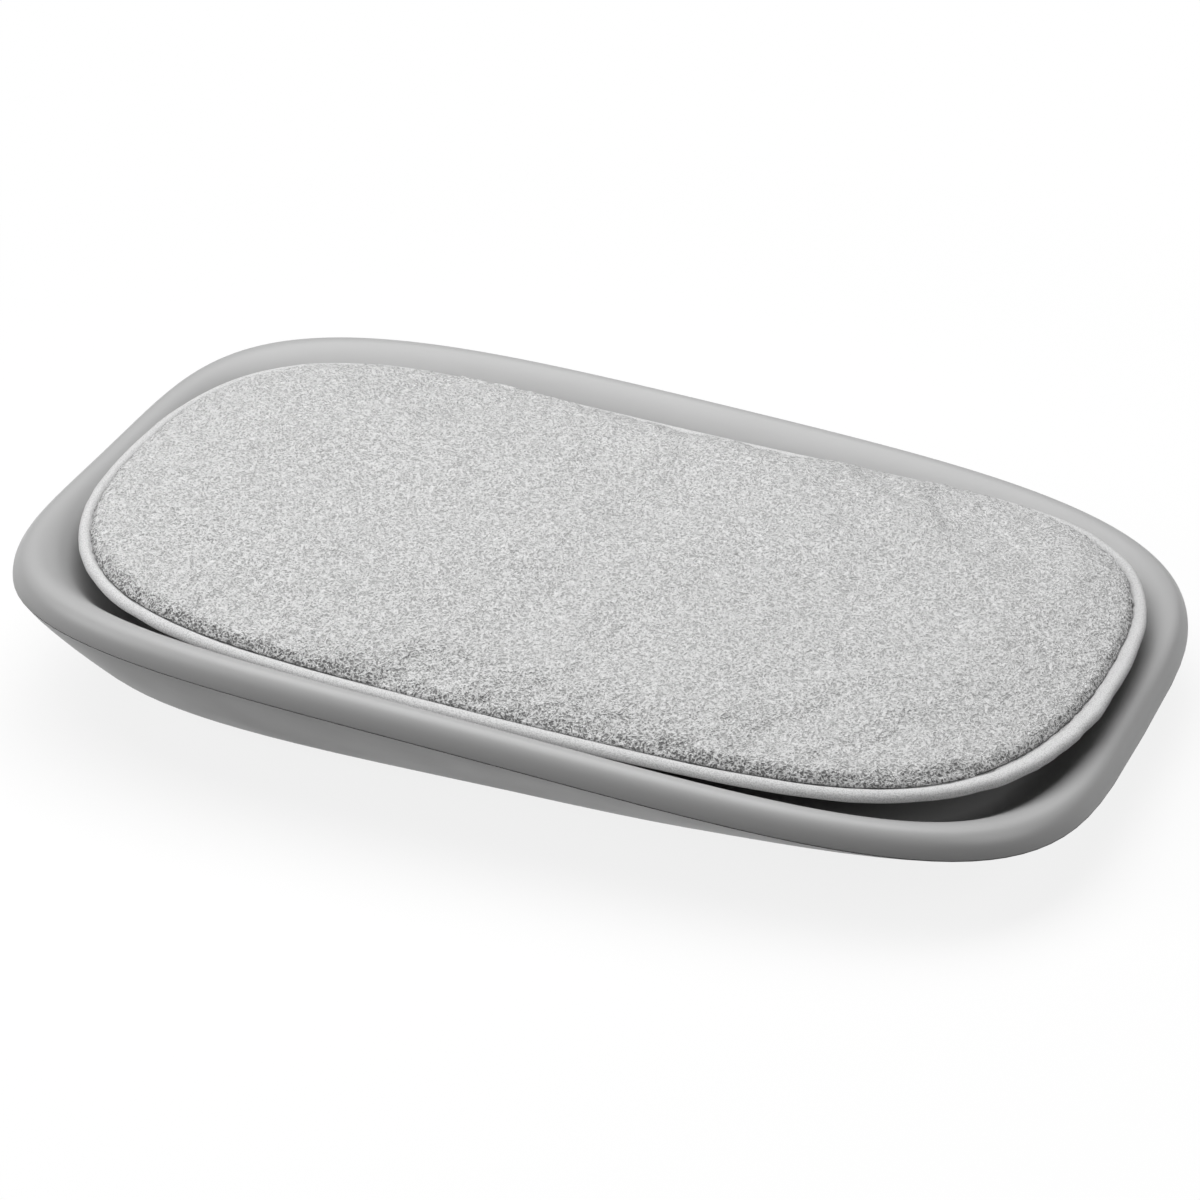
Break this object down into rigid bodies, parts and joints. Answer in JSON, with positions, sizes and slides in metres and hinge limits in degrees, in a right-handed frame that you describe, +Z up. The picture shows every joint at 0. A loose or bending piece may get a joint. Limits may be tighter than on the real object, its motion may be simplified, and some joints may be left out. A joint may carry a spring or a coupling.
{
  "type": "kneeling pad",
  "caption": "Kneeling pad: a piped terry cushion lying loose in a wedge-shaped moulded tray with a rolled rim and rubber feet.",
  "frame": {"origin": "middle of the footprint at ground level, under the rubber feet", "axes": "+X along the pad towards its low end, +Y across it, +Z up"},
  "size_m": [0.52, 0.34, 0.0863],
  "materials": {
    "tray_plastic": "satin moulded plastic, light grey",
    "base_plastic": "satin moulded plastic, light grey",
    "screw_steel": "zinc plated",
    "foot_rubber": "matte",
    "terry": "cotton terry with short loops, pale grey",
    "under_cloth": "brushed jersey, grey",
    "piping_cloth": "fine jersey, pale grey",
    "filling": "soft foam",
    "cord_cotton": "twisted cotton"
  },
  "bodies": {
    "tray": {"tray_top": "tray_plastic", "base_shell": "base_plastic", "screws": "screw_steel", "foot_high_left": "foot_rubber", "foot_high_right": "foot_rubber", "foot_low_left": "foot_rubber", "foot_low_right": "foot_rubber"},
    "cushion": {"cushion_core": "filling", "cover_top": "terry", "cover_underside": "under_cloth", "piping_cover": "piping_cloth", "piping_cord": "cord_cotton"}
  },
  "joints": [
    {"name": "cushion_lift", "type": "slide", "parent": "tray", "child": "cushion", "axis": [0, 0, 1], "range_m": [0, 0.15]}
  ]
}
